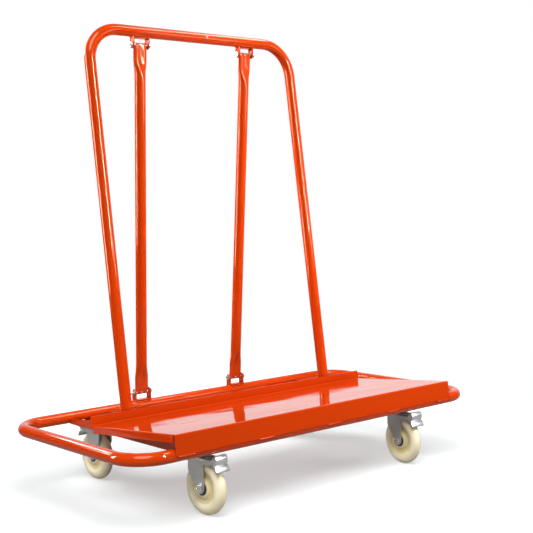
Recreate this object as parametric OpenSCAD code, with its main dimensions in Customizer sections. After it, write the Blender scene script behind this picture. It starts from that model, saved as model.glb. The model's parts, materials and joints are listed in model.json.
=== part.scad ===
// Drywall cart: a base loop of round tube on four braked swivel casters, a sloped deck tray,
// a back frame that leans back, and two bolted braces behind it.
// Millimetres. X runs along the cart, +Y to its back, +Z up. The floor is z = 0, under the loop's centre.

/* [Frame tube] */
// Outside diameter of the frame tubes
tube_d = 30; // [26:0.5:34]
// Wall of the frame tubes
tube_wall = 2; // [1.2:0.1:3]

/* [Base loop] */
// Length of the loop between the axes of its end tubes
loop_length = 1120; // [1060:5:1300]
// Depth of the loop between the axes of its rails
loop_depth = 550; // [530:5:620]
// Bend radius of the loop's corners, to the tube's axis
loop_bend = 80; // [60:1:100]
// Straight length of a bow between its bend and the rail
bow_stub = 40; // [20:1:60]

/* [Cross channels] */
// Distance from an end tube's axis to the middle of its channel
channel_inset = 220; // [190:1:240]
// Outside width of a channel
channel_w = 120; // [114:1:140]
// Thickness of a channel's plate
channel_t = 3; // [2:0.5:5]

/* [Deck tray] */
// Distance from an end tube's axis to the deck's end
deck_inset = 97.5; // [80:0.5:110]
// Depth of the deck from its front face to its rear flange
deck_depth = 346; // [320:1:360]
// Thickness of the deck's sheet
deck_t = 2; // [1.5:0.1:3]
// Slope of the deck, down to the back, in degrees
deck_slope = 5; // [3:0.5:6]
// Height of the deck's underside over the front rail's axis, square to the deck
deck_lift = 45.5; // [40:0.5:52]
// Height of the front flange, over its outside
front_flange = 48; // [40:0.5:56]
// Height of the rear flange over the deck
rear_flange = 23; // [15:0.5:32]
// Height of the side flanges, over their outside
side_flange = 18; // [12:0.5:26]
// Inside radius of the deck's bends
deck_bend = 1.5; // [1:0.5:4]
// Open gap at the deck's corners, between the bends
corner_gap = 5; // [2:0.5:10]

/* [Back frame] */
// Length of the legs, from the channel to the top bar's axis
frame_rise = 1031; // [900:1:1150]
// Lean of the back frame, in degrees
frame_lean = 7.5; // [5:0.5:9]
// Bend radius of the frame's upper corners, to the tube's axis
frame_bend = 90; // [70:1:120]
// Gap between the deck's rear flange and the legs
leg_gap = 7; // [3:0.5:12]
// Distance of a leg's foot outside the middle of its channel
leg_out = 3; // [0:0.5:10]
// Length of the spigots inside the legs
spigot_length = 60; // [50:1:90]
// Wall of the spigots
spigot_wall = 2.5; // [2:0.1:4]
// Height of the foot bolts over the channel
foot_bolt_rise = 30; // [24:1:40]
// Head diameter of the two rivets in the top bar
rivet_d = 7; // [5:0.5:10]
// Distance of the front rivet from the bar's middle
front_rivet_x = 35; // [10:1:60]
// Distance of the lower rivet from the bar's middle
lower_rivet_x = 18; // [10:1:60]

/* [Braces] */
// Distance from a leg's axis in to its brace's lower end
brace_foot_inset = 176.5; // [150:0.5:190]
// Distance from a leg's axis in to its brace's upper end
brace_head_inset = 162.5; // [140:0.5:180]
// Width of a brace's flattened end
flat_w = 41; // [38:0.5:44]
// Thickness of a brace's flattened end
flat_t = 11.5; // [11:0.5:14]
// Length of the flattened end, from the bolt
flat_length = 38; // [25:1:60]
// Length over which the tube runs into its flattened end
taper_length = 45; // [30:1:80]

/* [Brackets] */
// Thickness of a bracket's plate
bracket_t = 3; // [2:0.5:4]
// Depth of a bracket's ears
ear_w = 20; // [18:0.5:24]
// Gap between a brace's end and each ear
ear_gap = 2; // [1:0.5:4]
// Distance from the rear rail's axis to the lower bolts
lower_pivot = 37; // [35:0.5:46]
// Distance from the top bar's axis to the upper bolts
upper_pivot = 35; // [34:0.5:42]

/* [Fasteners] */
// Diameter of the bolts
bolt_d = 8; // [6:0.5:8]
// Width across the flats of heads and nuts
hex_w = 13; // [10:0.5:13]
// Height of the bolt heads
head_h = 5; // [3:0.5:5.5]
// Height of the nuts
nut_h = 6.5; // [4:0.5:7]
// Length of thread that stands out of a nut
bolt_end = 3; // [1:0.5:4]

/* [Casters] */
// Distance from a rail's axis to the king pins beside it
caster_inset = 70; // [68:1:85]
// Turn of the front left caster, in degrees
turn_front_left = 3; // [-20:1:20]
// Turn of the front right caster, in degrees
turn_front_right = -6; // [-20:1:20]
// Turn of the rear left caster, in degrees
turn_rear_left = 0; // [-20:1:20]
// Turn of the rear right caster, in degrees
turn_rear_right = 0; // [-20:1:20]
// Distance from the king pin to the axle
trail = 28.5; // [24:0.5:32]
// Length of the caster plates, along the cart
plate_l = 100; // [94:1:108]
// Width of the caster plates
plate_w = 85; // [80:1:92]
// Thickness of the caster plates
plate_t = 5; // [4:0.5:6]
// Bolt spacing along the caster plates
bolt_span_l = 75; // [70:1:80]
// Bolt spacing across the caster plates
bolt_span_w = 60; // [58:1:66]
// Room for the bearing balls, between plate and fork
race_h = 8; // [7.5:0.5:10]
// Diameter of the circle that the balls run on
race_d = 40; // [36:1:42]
// Number of balls in a swivel
ball_count = 14; // [8:1:14]
// Diameter of the king pins
king_pin_d = 12; // [8:0.5:14]

/* [Forks] */
// Thickness of the forks' plate
fork_t = 3; // [2.5:0.5:4]
// Diameter of a fork's crown
crown_d = 54; // [52:1:58]
// Gap between the wheel's tread and the crown
crown_gap = 7; // [6.5:0.5:12]
// Gap between the wheel and each leg of the fork
fork_gap = 2; // [1.5:0.1:4]
// Radius of a leg's end, round the axle
leg_end_r = 12.5; // [10:0.5:15]
// Reach of a leg's back edge, behind the axle
leg_back = 41; // [36:0.5:46]
// Height of the leg's shoulder over the axle
leg_shoulder = 39.5; // [30:0.5:48]

/* [Wheels] */
// Diameter of the wheels
wheel_d = 127; // [120:1:140]
// Width of the wheels
wheel_w = 30; // [26:0.5:34]
// Outside diameter of the hub's flat face
hub_d = 60; // [50:1:64]
// Outside diameter of the recess round the hub
recess_d = 86; // [76:1:92]
// Depth of the recess
recess_depth = 5; // [2:0.5:8]
// Distance of the hub's face inside the wheel's widest point
hub_inset = 1; // [0.5:0.1:3]
// Diameter of the axle bolts
axle_d = 8; // [6:0.5:10]
// Outside diameter of the hub bushes
bush_d = 16; // [14:0.5:20]
// Diameter of the hub seals
seal_d = 32; // [28:0.5:40]

/* [Brakes] */
// Distance from the king pin to the pedal's pin
pedal_reach = 66.5; // [62:0.5:70]
// Diameter of the pedal pins
pedal_pin_d = 6; // [4:0.5:7]
// Radius of the fork's ears, round the pedal pin
pedal_ear_r = 6.5; // [5.5:0.5:8]
// Thickness of the pedal's sheet
pedal_t = 2; // [1.5:0.1:2.5]
// Gap between the shoe and the tread, with the brake off
brake_gap = 3; // [2.5:0.1:5]
// Thickness of the shoe's pad
shoe_t = 4; // [3:0.5:6]
// Width of the shoe
shoe_w = 20; // [12:1:24]

/* [Clearances] */
// Gap at welded round seats
weld_gap = 0.2; // [0.1:0.05:0.4]
// Radial clearance of turning fits
running_gap = 0.06; // [0.02:0.01:0.1]
// Radial clearance of bolts in their holes
hole_gap = 0.4; // [0.2:0.1:0.6]
// Gap between faces that turn past each other
turning_gap = 0.4; // [0.3:0.05:0.6]

/* [Hidden] */
$fn = 64;

// Tube and loop
tube_r = tube_d / 2;
bore_r = tube_r - tube_wall;
rail_half = loop_length / 2 - loop_bend - bow_stub;
channel_spacing = loop_length - 2 * channel_inset;
caster_spacing = loop_depth - 2 * caster_inset;

// Heights, from the floor up through a caster to the loop and the deck
wheel_r = wheel_d / 2;
crown_z = wheel_d + crown_gap;
race_z = crown_z + fork_t;
plate_z = race_z + race_h;
caster_h = plate_z + plate_t;
web_z = caster_h + channel_t;
loop_z = caster_h + tube_r;

// Deck, in its own sloped frame on the front rail's axis
deck_front = -(tube_r + weld_gap + deck_t);
deck_back = deck_front + deck_depth;
deck_top = deck_lift + deck_t;
deck_bend_out = deck_bend + deck_t;
deck_length = loop_length - 2 * deck_inset;
deck_flat = deck_length / 2 - deck_bend_out;

// Back frame
flange_y = deck_back + deck_t;
flange_z = deck_top + rear_flange;
flange_top_y = -loop_depth / 2 + flange_y * cos(deck_slope) + flange_z * sin(deck_slope);
flange_top_z = loop_z - flange_y * sin(deck_slope) + flange_z * cos(deck_slope);
leg_y = flange_top_y + leg_gap + tube_r / cos(frame_lean);
foot_y = leg_y - (flange_top_z - web_z) * tan(frame_lean);
leg_x = channel_spacing / 2 + leg_out;
bar_y = foot_y + frame_rise * sin(frame_lean);
bar_z = web_z + frame_rise * cos(frame_lean);
spigot_r = bore_r - weld_gap;

// Braces and brackets
brace_foot = [leg_x - brace_foot_inset, loop_depth / 2, loop_z + lower_pivot];
brace_head = [leg_x - brace_head_inset, bar_y, bar_z - upper_pivot];
brace_run = brace_head - brace_foot;
brace_length = norm(brace_run);
brace_pitch = atan2(-brace_run[1], brace_run[2]);
brace_splay = asin(brace_run[0] / brace_length);
flat_r = flat_t / 2;
ear_x = flat_w / 2 + ear_gap;
bolt_r = bolt_d / 2;
hole_r = bolt_r + hole_gap;
hex_r = hex_w / 2 / cos(30);

// Fork, with the king pin on the z axis and the wheel towards +Y
fork_in = wheel_w / 2 + fork_gap;
fork_out = fork_in + fork_t;
king_r = king_pin_d / 2;
king_head_r = king_r + 5;
king_head_h = 3;
crown_r = crown_d / 2;
cup_t = 2;
ball_r = race_h / 2 - turning_gap;
axle_r = axle_d / 2;
shoulder = [trail - leg_back, wheel_r + leg_shoulder];
shoulder_turn = atan2(leg_shoulder, -leg_back) + acos(leg_end_r / norm([leg_back, leg_shoulder]));
leg_tangent = [trail + leg_end_r * cos(shoulder_turn), wheel_r + leg_end_r * sin(shoulder_turn)];
leg_front = trail + leg_end_r;

// Wheel
tread_r = wheel_w / 2;
hub_half = wheel_w / 2 - hub_inset;
seal_in = hub_half + weld_gap / 2;
seal_out = fork_in - turning_gap;
bush_r = bush_d / 2;

// Brake, with the outline of the pedal's front measured from its pin
pedal_z = race_z - pedal_ear_r;
pedal_pin_r = pedal_pin_d / 2;
pedal_half = fork_in - turning_gap;
pedal_hub_r = pedal_ear_r - 0.5;
pedal_front = [[18, 12], [21, 3.5], [15, -1.5], [21, -6.5], [29, -17.5], [26, -20]];
pedal_cheek = [
    [0, pedal_hub_r - 0.5], [18.2, 11], [20.9, 3.6], [15.2, -1.5], [20.9, -6.5], [28.6, -17.2], [24, -18], [-2, -5]
];
shoe_hub_r = pedal_pin_r + 2;
shoe_in = wheel_r + brake_gap;
shoe_arc = [52, 64];
shoe_half = pedal_half - pedal_t - turning_gap;

paint = [0.92, 0.30, 0.07];
zinc = [0.62, 0.62, 0.60];
chrome = [0.88, 0.88, 0.90];
nylon = [0.91, 0.87, 0.72];
black = [0.06, 0.06, 0.06];
steel = [0.55, 0.56, 0.58];

// Direction of a run, and the direction to its left
function unit(run) = run / norm(run);
function left_of(run) = [-run[1], run[0]];

// Corner of a strip's edge at one of its points, a distance to the left of the path
function strip_edge(points, i, distance) =
    let (
        ahead = min(i + 1, len(points) - 1),
        behind = max(i, 1),
        to_left = left_of(unit(points[ahead] - points[ahead - 1])),
        outward = unit(to_left + left_of(unit(points[behind] - points[behind - 1])))
    )
    points[i] + distance / (outward * to_left) * outward;

// Height of the deck's underside over a place along the cart's depth
function deck_under(y) = loop_z + deck_lift / cos(deck_slope) - (y + loop_depth / 2) * tan(deck_slope);

// Shared shapes

// Straight tube along Z
module straight(length, radius) {
    cylinder(h = length, r = radius);
}

// Quarter bend from +Y round to +X, in the XY plane
module bend(bend_radius, radius) {
    rotate_extrude(angle = 90) translate([bend_radius, 0]) circle(r = radius);
}

// A flat outline in depth and height, given a thickness along X and centred there
module across(width) {
    translate([-width / 2, 0, 0]) rotate([90, 0, 90]) linear_extrude(width) children();
}

// Both sides of a plate pair, from an inner to an outer distance along X
module plate_pair(inner, outer) {
    for (side = [-1, 1])
        translate([side * (inner + outer) / 2, 0, 0]) across(outer - inner) children();
}

// A bent strip of sheet that follows a list of points
module strip(points, thickness) {
    last = len(points) - 1;
    polygon(concat(
        [for (i = [0 : last]) strip_edge(points, i, thickness / 2)],
        [for (i = [last : -1 : 0]) strip_edge(points, i, -thickness / 2)]
    ));
}

// A quarter ring of sheet, round the lower left corner of the plane
module sheet_corner(thickness, inside) {
    intersection() {
        difference() {
            circle(r = inside + thickness);
            circle(r = inside);
        }
        square(inside + thickness);
    }
}

// Hexagonal head or nut along X, from x = 0
module hex_block(height) {
    rotate([0, 90, 0]) cylinder(h = height, r = hex_r, $fn = 6);
}

// Bolt along X: its head lies below x = 0, and its shank runs on past what it grips and the nut
module cross_bolt(grip) {
    translate([-head_h, 0, 0]) hex_block(head_h);
    rotate([0, 90, 0]) cylinder(h = grip + nut_h + bolt_end, r = bolt_r);
}

// Nut along X, from x = 0
module cross_nut() {
    difference() {
        hex_block(nut_h);
        translate([-1, 0, 0]) rotate([0, 90, 0]) cylinder(h = nut_h + 2, r = bolt_r + running_gap);
    }
}

// Base loop

module rails_cut() {
    for (side = [-1, 1])
        translate([-loop_length / 2, side * loop_depth / 2, loop_z]) rotate([0, 90, 0])
            straight(loop_length, tube_r + weld_gap);
}

module rail(side) {
    color(paint) translate([-rail_half, side * loop_depth / 2, loop_z]) rotate([0, 90, 0]) difference() {
        straight(2 * rail_half, tube_r);
        translate([0, 0, -1]) straight(2 * rail_half + 2, bore_r);
    }
}

// Centre line of the right bow: two stubs, two bends and the end tube
module bow_path(radius, spare) {
    for (side = [0, 1]) mirror([0, side, 0]) {
        translate([rail_half - spare, loop_depth / 2, 0]) rotate([0, 90, 0]) straight(bow_stub + spare, radius);
        translate([loop_length / 2 - loop_bend, loop_depth / 2 - loop_bend, 0]) bend(loop_bend, radius);
    }
    translate([loop_length / 2, loop_bend - loop_depth / 2, 0]) rotate([-90, 0, 0])
        straight(loop_depth - 2 * loop_bend, radius);
}

module bow(side) {
    color(paint) mirror([side < 0 ? 1 : 0, 0, 0]) translate([0, 0, loop_z]) difference() {
        bow_path(tube_r, 0);
        bow_path(bore_r, 1);
    }
}

// Channel with its web down: the flanges' upper edges carry the deck
module channel(side) {
    end_y = loop_depth / 2 - weld_gap - sqrt(pow(tube_r, 2) - pow(tube_r - channel_t, 2));
    color(paint) difference() {
        translate([side * channel_spacing / 2, 0, 0]) difference() {
            union() {
                translate([-channel_w / 2, -end_y, caster_h]) cube([channel_w, 2 * end_y, channel_t]);
                plate_pair(channel_w / 2 - channel_t, channel_w / 2) polygon([
                    [-end_y, caster_h], [end_y, caster_h], [end_y, deck_under(end_y)], [-end_y, deck_under(-end_y)]
                ]);
            }
            for (end = [-1, 1]) translate([0, end * caster_spacing / 2, 0]) plate_holes();
        }
        rails_cut();
    }
}

// Deck tray

module deck_frame() {
    translate([0, -loop_depth / 2, loop_z]) rotate([-deck_slope, 0, 0]) children();
}

module front_profile() {
    translate([deck_front, deck_top - front_flange]) square([deck_t, front_flange - deck_bend_out]);
    translate([deck_front + deck_bend_out, deck_top - deck_bend_out]) mirror([1, 0]) sheet_corner(deck_t, deck_bend);
}

module rear_profile() {
    translate([deck_back, deck_top + deck_bend]) square([deck_t, rear_flange - deck_bend]);
    translate([deck_back - deck_bend, deck_top + deck_bend]) mirror([0, 1]) sheet_corner(deck_t, deck_bend);
}

// Right side flange with its bend, standing clear of the front and rear bends
module side_strip() {
    start = deck_front + deck_bend_out + corner_gap;
    run = deck_back - deck_bend - corner_gap - start;
    translate([deck_length / 2 - deck_t, start, deck_top - side_flange])
        cube([deck_t, run, side_flange - deck_bend_out]);
    translate([deck_flat, start, deck_top - deck_bend_out]) rotate([90, 0, 0]) mirror([0, 0, 1])
        linear_extrude(run) sheet_corner(deck_t, deck_bend);
}

module deck_tray() {
    plate_y = deck_front + deck_bend_out;
    color(paint) deck_frame() {
        across(deck_length) front_profile();
        across(deck_length) rear_profile();
        translate([-deck_flat, plate_y, deck_lift])
            cube([2 * deck_flat, deck_back - deck_bend - plate_y, deck_t]);
        for (side = [0, 1]) mirror([side, 0, 0]) side_strip();
    }
}

// Back frame

module lean_frame() {
    translate([0, foot_y, web_z]) rotate([-frame_lean, 0, 0]) children();
}

// Legs, bends and top bar of the inverted U, in its leaning plane
module frame_path(radius, spare) {
    leg_drop = tube_r * tan(frame_lean) + spare;
    for (turn = [0, 180]) rotate(turn) {
        translate([leg_x, 0, -leg_drop]) straight(frame_rise - frame_bend + leg_drop, radius);
        translate([leg_x - frame_bend, 0, frame_rise - frame_bend]) rotate([90, 0, 0]) bend(frame_bend, radius);
    }
    translate([frame_bend - leg_x, 0, frame_rise]) rotate([0, 90, 0])
        straight(2 * (leg_x - frame_bend), radius);
}

// Places of the two rivets: one on the bar's front, one under it
module rivet_places() {
    translate([front_rivet_x, 0, frame_rise]) rotate([90, 0, 0]) children();
    translate([-lower_rivet_x, 0, frame_rise]) rotate([180, 0, 0]) children();
}

module back_frame() {
    color(paint) difference() {
        lean_frame() difference() {
            frame_path(tube_r, 0);
            frame_path(bore_r, 1);
            rivet_places() cylinder(h = tube_d, d = rivet_d / 2);
            foot_bolt_places() translate([-tube_d, 0, 0]) rotate([0, 90, 0]) cylinder(h = 2 * tube_d, r = hole_r);
        }
        translate([-loop_length / 2, foot_y - loop_depth / 2, web_z - tube_d])
            cube([loop_length, loop_depth, tube_d]);
    }
}

// Blind rivets: a shank through the tube's wall under a domed head
module bar_rivets() {
    dome = rivet_d / 4;
    dome_r = (pow(rivet_d / 2, 2) + pow(dome, 2)) / (2 * dome);
    color(zinc) lean_frame() rivet_places() {
        translate([0, 0, bore_r - 2]) cylinder(h = tube_wall + 2, d = rivet_d / 2 - 2 * weld_gap);
        translate([0, 0, tube_r + weld_gap]) intersection() {
            translate([0, 0, dome - dome_r]) sphere(r = dome_r);
            cylinder(h = dome, d = rivet_d);
        }
        translate([0, 0, tube_r - 1]) cylinder(h = 1 + weld_gap, d = rivet_d / 2 - 2 * weld_gap);
    }
}

module foot_bolt_places() {
    for (side = [-1, 1]) translate([side * leg_x, 0, foot_bolt_rise]) children();
}

// Spigots that the legs slide over
module foot_spigots() {
    leg_drop = tube_r * tan(frame_lean);
    color(paint) difference() {
        lean_frame() difference() {
            for (side = [-1, 1]) translate([side * leg_x, 0, -leg_drop]) difference() {
                straight(spigot_length + leg_drop, spigot_r);
                translate([0, 0, -1]) straight(spigot_length + leg_drop + 2, spigot_r - spigot_wall);
            }
            foot_bolt_places() translate([-tube_d, 0, 0]) rotate([0, 90, 0]) cylinder(h = 2 * tube_d, r = hole_r);
        }
        translate([-loop_length / 2, foot_y - loop_depth / 2, web_z - tube_d])
            cube([loop_length, loop_depth, tube_d]);
    }
}

module foot_bolts() {
    grip = tube_d + 2 * weld_gap;
    color(zinc) lean_frame() foot_bolt_places() translate([-grip / 2, 0, 0]) {
        cross_bolt(grip);
        translate([grip, 0, 0]) cross_nut();
    }
}

// Braces and brackets

// Flattened end of a brace, with its eye on the z = 0 line: a flared tube pressed between two faces
module flat_end() {
    end = flat_length + taper_length;
    intersection() {
        union() {
            translate([0, 0, -flat_r]) cylinder(h = flat_r + flat_length, r = flat_w / 2);
            translate([0, 0, flat_length]) cylinder(h = taper_length, r1 = flat_w / 2, r2 = tube_r);
        }
        across(2 * flat_w) {
            circle(r = flat_r);
            polygon([
                [-flat_r, 0], [flat_r, 0], [flat_r, flat_length], [tube_r + 1, end],
                [-tube_r - 1, end], [-flat_r, flat_length]
            ]);
        }
    }
}

module brace(side) {
    end = flat_length + taper_length;
    color(paint) mirror([side < 0 ? 1 : 0, 0, 0]) translate(brace_foot)
        rotate([brace_pitch, 0, 0]) rotate([0, brace_splay, 0]) difference() {
            union() {
                flat_end();
                translate([0, 0, brace_length]) mirror([0, 0, 1]) flat_end();
                translate([0, 0, end]) straight(brace_length - 2 * end, tube_r);
            }
            translate([0, 0, end]) straight(brace_length - 2 * end, bore_r);
            for (z = [0, brace_length]) translate([-flat_w, 0, z]) rotate([0, 90, 0])
                cylinder(h = 2 * flat_w, r = hole_r);
        }
}

// U-bracket on a tube along X at the origin, with its bolt's axis over it
module bracket(pivot) {
    ear_top = pivot + ear_w / 2;
    difference() {
        union() {
            translate([-ear_x, -ear_w / 2, tube_r]) cube([2 * ear_x, ear_w, bracket_t]);
            plate_pair(ear_x, ear_x + bracket_t) {
                translate([-ear_w / 2, 0]) square([ear_w, pivot]);
                translate([0, pivot]) circle(r = ear_w / 2);
            }
        }
        translate([-ear_top, 0, 0]) rotate([0, 90, 0]) straight(2 * ear_top, tube_r + weld_gap);
        translate([-ear_top, 0, pivot]) rotate([0, 90, 0]) cylinder(h = 2 * ear_top, r = hole_r);
    }
}

module lower_bracket(side) {
    color(paint) translate([side * brace_foot[0], loop_depth / 2, loop_z]) bracket(lower_pivot);
}

module upper_bracket(side) {
    color(paint) translate([side * brace_head[0], bar_y, bar_z]) mirror([0, 0, 1]) bracket(upper_pivot);
}

// Each of the four bolt places, at the bracket's inner face, with +X towards the cart's end
module brace_bolt_places() {
    for (side = [-1, 1], place = [brace_foot, brace_head])
        translate([side * place[0], place[1], place[2]]) rotate(side < 0 ? 180 : 0)
            translate([-ear_x - bracket_t, 0, 0]) children();
}

module brace_bolts() {
    color(zinc) brace_bolt_places() cross_bolt(2 * (ear_x + bracket_t));
}

module brace_nuts() {
    color(zinc) brace_bolt_places() translate([2 * (ear_x + bracket_t), 0, 0]) cross_nut();
}

// Casters

// A caster's place and turn: its wheel lies towards the nearer long side
module caster_frame(across_side, depth_side, turn) {
    translate([across_side * channel_spacing / 2, depth_side * caster_spacing / 2, 0])
        rotate([0, 0, depth_side < 0 ? 180 + turn : turn]) children();
}

module front_left() { caster_frame(-1, -1, turn_front_left) children(); }
module front_right() { caster_frame(1, -1, turn_front_right) children(); }
module rear_left() { caster_frame(-1, 1, turn_rear_left) children(); }
module rear_right() { caster_frame(1, 1, turn_rear_right) children(); }

// The four king pins' places, square to the cart
module caster_places() {
    for (across_side = [-1, 1], depth_side = [-1, 1]) caster_frame(across_side, depth_side, 0) children();
}

module plate_bolt_places() {
    for (x = [-1, 1], y = [-1, 1]) translate([x * bolt_span_l / 2, y * bolt_span_w / 2, 0]) children();
}

module plate_holes() {
    plate_bolt_places() translate([0, 0, plate_z - 1]) cylinder(h = plate_t + channel_t + 2, r = hole_r);
}

// Top plate with the cup that covers the balls
module plate() {
    color(zinc) difference() {
        union() {
            translate([-plate_l / 2, -plate_w / 2, plate_z]) cube([plate_l, plate_w, plate_t]);
            translate([0, 0, race_z + turning_gap]) difference() {
                cylinder(h = race_h - turning_gap, r = crown_r);
                translate([0, 0, -1]) cylinder(h = race_h - turning_gap + 1, r = crown_r - cup_t);
            }
        }
        plate_holes();
        translate([0, 0, plate_z - 1]) cylinder(h = plate_t + 2, r = king_r + running_gap);
    }
}

module king_pins() {
    head_z = crown_z - turning_gap - king_head_h;
    color(zinc) caster_places() {
        translate([0, 0, head_z]) cylinder(h = king_head_h, r = king_head_r);
        translate([0, 0, head_z + king_head_h]) cylinder(h = caster_h - head_z - king_head_h, r = king_r);
    }
}

module swivel_balls() {
    color(steel) caster_places() for (i = [0 : ball_count - 1])
        rotate(i * 360 / ball_count) translate([race_d / 2, 0, race_z + race_h / 2]) sphere(r = ball_r);
}

module caster_bolts() {
    color(zinc) caster_places() plate_bolt_places() translate([0, 0, plate_z]) rotate([0, -90, 0])
        cross_bolt(plate_t + channel_t);
}

module caster_nuts() {
    color(zinc) caster_places() plate_bolt_places() translate([0, 0, web_z]) rotate([0, -90, 0]) cross_nut();
}

// Outline of a fork's leg with the ear that carries the pedal's pin
module leg_outline() {
    difference() {
        union() {
            polygon([
                [leg_front, race_z], [shoulder[0], race_z], shoulder, leg_tangent,
                [trail, wheel_r], [leg_front, wheel_r]
            ]);
            translate([trail, wheel_r]) circle(r = leg_end_r);
            polygon([
                [leg_front, race_z], [pedal_reach, race_z],
                [pedal_reach, pedal_z - pedal_ear_r], [leg_front, pedal_z - 1.5 * pedal_ear_r]
            ]);
            translate([pedal_reach, pedal_z]) circle(r = pedal_ear_r);
        }
        translate([trail, wheel_r]) circle(r = axle_r + running_gap);
        translate([pedal_reach, pedal_z]) circle(r = pedal_pin_r + running_gap);
    }
}

module fork() {
    color(zinc) difference() {
        union() {
            plate_pair(fork_in, fork_out) leg_outline();
            translate([0, 0, crown_z]) cylinder(h = fork_t, r = crown_r);
            translate([-fork_in, shoulder[0], crown_z]) cube([2 * fork_in, leg_front - shoulder[0], fork_t]);
        }
        translate([0, 0, crown_z - 1]) cylinder(h = fork_t + 2, r = king_r + running_gap);
    }
}

// Axle bolt and its nut
module axle() {
    grip = 2 * fork_out;
    color(zinc) translate([-fork_out, trail, wheel_r]) {
        translate([-head_h, 0, 0]) hex_block(head_h);
        rotate([0, 90, 0]) cylinder(h = grip + nut_h + bolt_end, r = axle_r);
        translate([grip, 0, 0]) difference() {
            hex_block(nut_h);
            translate([-1, 0, 0]) rotate([0, 90, 0]) cylinder(h = nut_h + 2, r = axle_r + running_gap);
        }
    }
}

module pedal_pin() {
    color(zinc) translate([0, pedal_reach, pedal_z]) rotate([0, 90, 0])
        cylinder(h = 2 * (fork_out + 1), r = pedal_pin_r, center = true);
}

// Wheel with a round tread and a recess between its rim and hub
module wheel() {
    color(nylon) translate([0, trail, wheel_r]) rotate([0, 90, 0]) rotate_extrude() difference() {
        union() {
            translate([wheel_r - tread_r, 0]) circle(r = tread_r);
            translate([bush_r + running_gap, -hub_half])
                square([wheel_r - tread_r - bush_r - running_gap, 2 * hub_half]);
        }
        for (side = [0, 1]) mirror([0, side]) translate([hub_d / 2, hub_half - recess_depth])
            square([(recess_d - hub_d) / 2, recess_depth + hub_inset]);
    }
}

module bush() {
    color(steel) translate([0, trail, wheel_r]) rotate([0, 90, 0]) difference() {
        cylinder(h = 2 * hub_half, r = bush_r, center = true);
        cylinder(h = 2 * hub_half + 2, r = axle_r + running_gap, center = true);
    }
}

module seals() {
    color(black) translate([0, trail, wheel_r]) for (side = [0, 1]) mirror([side, 0, 0])
        translate([seal_in, 0, 0]) rotate([0, 90, 0]) difference() {
            cylinder(h = seal_out - seal_in, d = seal_d);
            translate([0, 0, -1]) cylinder(h = seal_out - seal_in + 2, r = axle_r + hole_gap);
        }
}

// Brake pedal: two cheeks on the pin and a bent front with an upper and a lower flap
module pedal() {
    color(chrome) translate([0, pedal_reach, pedal_z]) {
        plate_pair(pedal_half - pedal_t, pedal_half) difference() {
            union() {
                polygon(pedal_cheek);
                circle(r = pedal_hub_r);
            }
            circle(r = pedal_pin_r + running_gap);
        }
        across(2 * pedal_half) strip(pedal_front, pedal_t);
    }
}

// Brake shoe: a hub on the pin, and a pad that follows the tread
module shoe() {
    color(black) translate([0, pedal_reach, pedal_z]) across(2 * shoe_half) difference() {
        circle(r = shoe_hub_r);
        circle(r = pedal_pin_r + running_gap);
    }
    pad_mid = shoe_in + shoe_t / 2;
    pad_turn = (shoe_arc[0] + shoe_arc[1]) / 2;
    pad_place = [trail + pad_mid * cos(pad_turn), wheel_r + pad_mid * sin(pad_turn)];
    color(black) across(shoe_w) difference() {
        union() {
            strip([[pedal_reach, pedal_z], pad_place], shoe_hub_r);
            translate([trail, wheel_r]) intersection() {
                difference() {
                    circle(r = shoe_in + shoe_t);
                    circle(r = shoe_in);
                }
                polygon([[0, 0], for (a = shoe_arc) 2 * shoe_in * [cos(a), sin(a)]]);
            }
        }
        translate([pedal_reach, pedal_z]) circle(r = shoe_hub_r - pedal_t / 2);
        translate([trail, wheel_r]) circle(r = shoe_in);
    }
}

rail(-1);  // front_rail
rail(1);  // rear_rail
bow(-1);  // left_bow
bow(1);  // right_bow
channel(-1);  // left_channel
channel(1);  // right_channel
deck_tray();
back_frame();
bar_rivets();
foot_spigots();
foot_bolts();
brace(-1);  // left_brace
brace(1);  // right_brace
lower_bracket(-1);  // left_lower_bracket
lower_bracket(1);  // right_lower_bracket
upper_bracket(-1);  // left_upper_bracket
upper_bracket(1);  // right_upper_bracket
brace_bolts();
brace_nuts();
caster_bolts();
caster_nuts();
king_pins();
swivel_balls();
caster_frame(-1, -1, 0) plate();  // front_left_plate
caster_frame(1, -1, 0) plate();  // front_right_plate
caster_frame(-1, 1, 0) plate();  // rear_left_plate
caster_frame(1, 1, 0) plate();  // rear_right_plate
front_left() fork();  // front_left_fork
front_right() fork();  // front_right_fork
rear_left() fork();  // rear_left_fork
rear_right() fork();  // rear_right_fork
front_left() axle();  // front_left_axle
front_right() axle();  // front_right_axle
rear_left() axle();  // rear_left_axle
rear_right() axle();  // rear_right_axle
front_left() pedal_pin();  // front_left_pedal_pin
front_right() pedal_pin();  // front_right_pedal_pin
rear_left() pedal_pin();  // rear_left_pedal_pin
rear_right() pedal_pin();  // rear_right_pedal_pin
front_left() wheel();  // front_left_wheel
front_right() wheel();  // front_right_wheel
rear_left() wheel();  // rear_left_wheel
rear_right() wheel();  // rear_right_wheel
front_left() bush();  // front_left_bush
front_right() bush();  // front_right_bush
rear_left() bush();  // rear_left_bush
rear_right() bush();  // rear_right_bush
front_left() seals();  // front_left_seals
front_right() seals();  // front_right_seals
rear_left() seals();  // rear_left_seals
rear_right() seals();  // rear_right_seals
front_left() pedal();  // front_left_pedal
front_right() pedal();  // front_right_pedal
rear_left() pedal();  // rear_left_pedal
rear_right() pedal();  // rear_right_pedal
front_left() shoe();  // front_left_shoe
front_right() shoe();  // front_right_shoe
rear_left() shoe();  // rear_left_shoe
rear_right() shoe();  // rear_right_shoe
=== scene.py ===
"""Looks of a drywall cart.

Gives the CAD nodes their finishes, puts finer pieces in place of some of them, and sets up the studio.
"""

import json
import logging
import math
from dataclasses import dataclass
from enum import Enum
from typing import Any, Callable, Iterable, Mapping, Sequence

import bmesh
import bpy
from mathutils import Matrix, Vector


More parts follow.
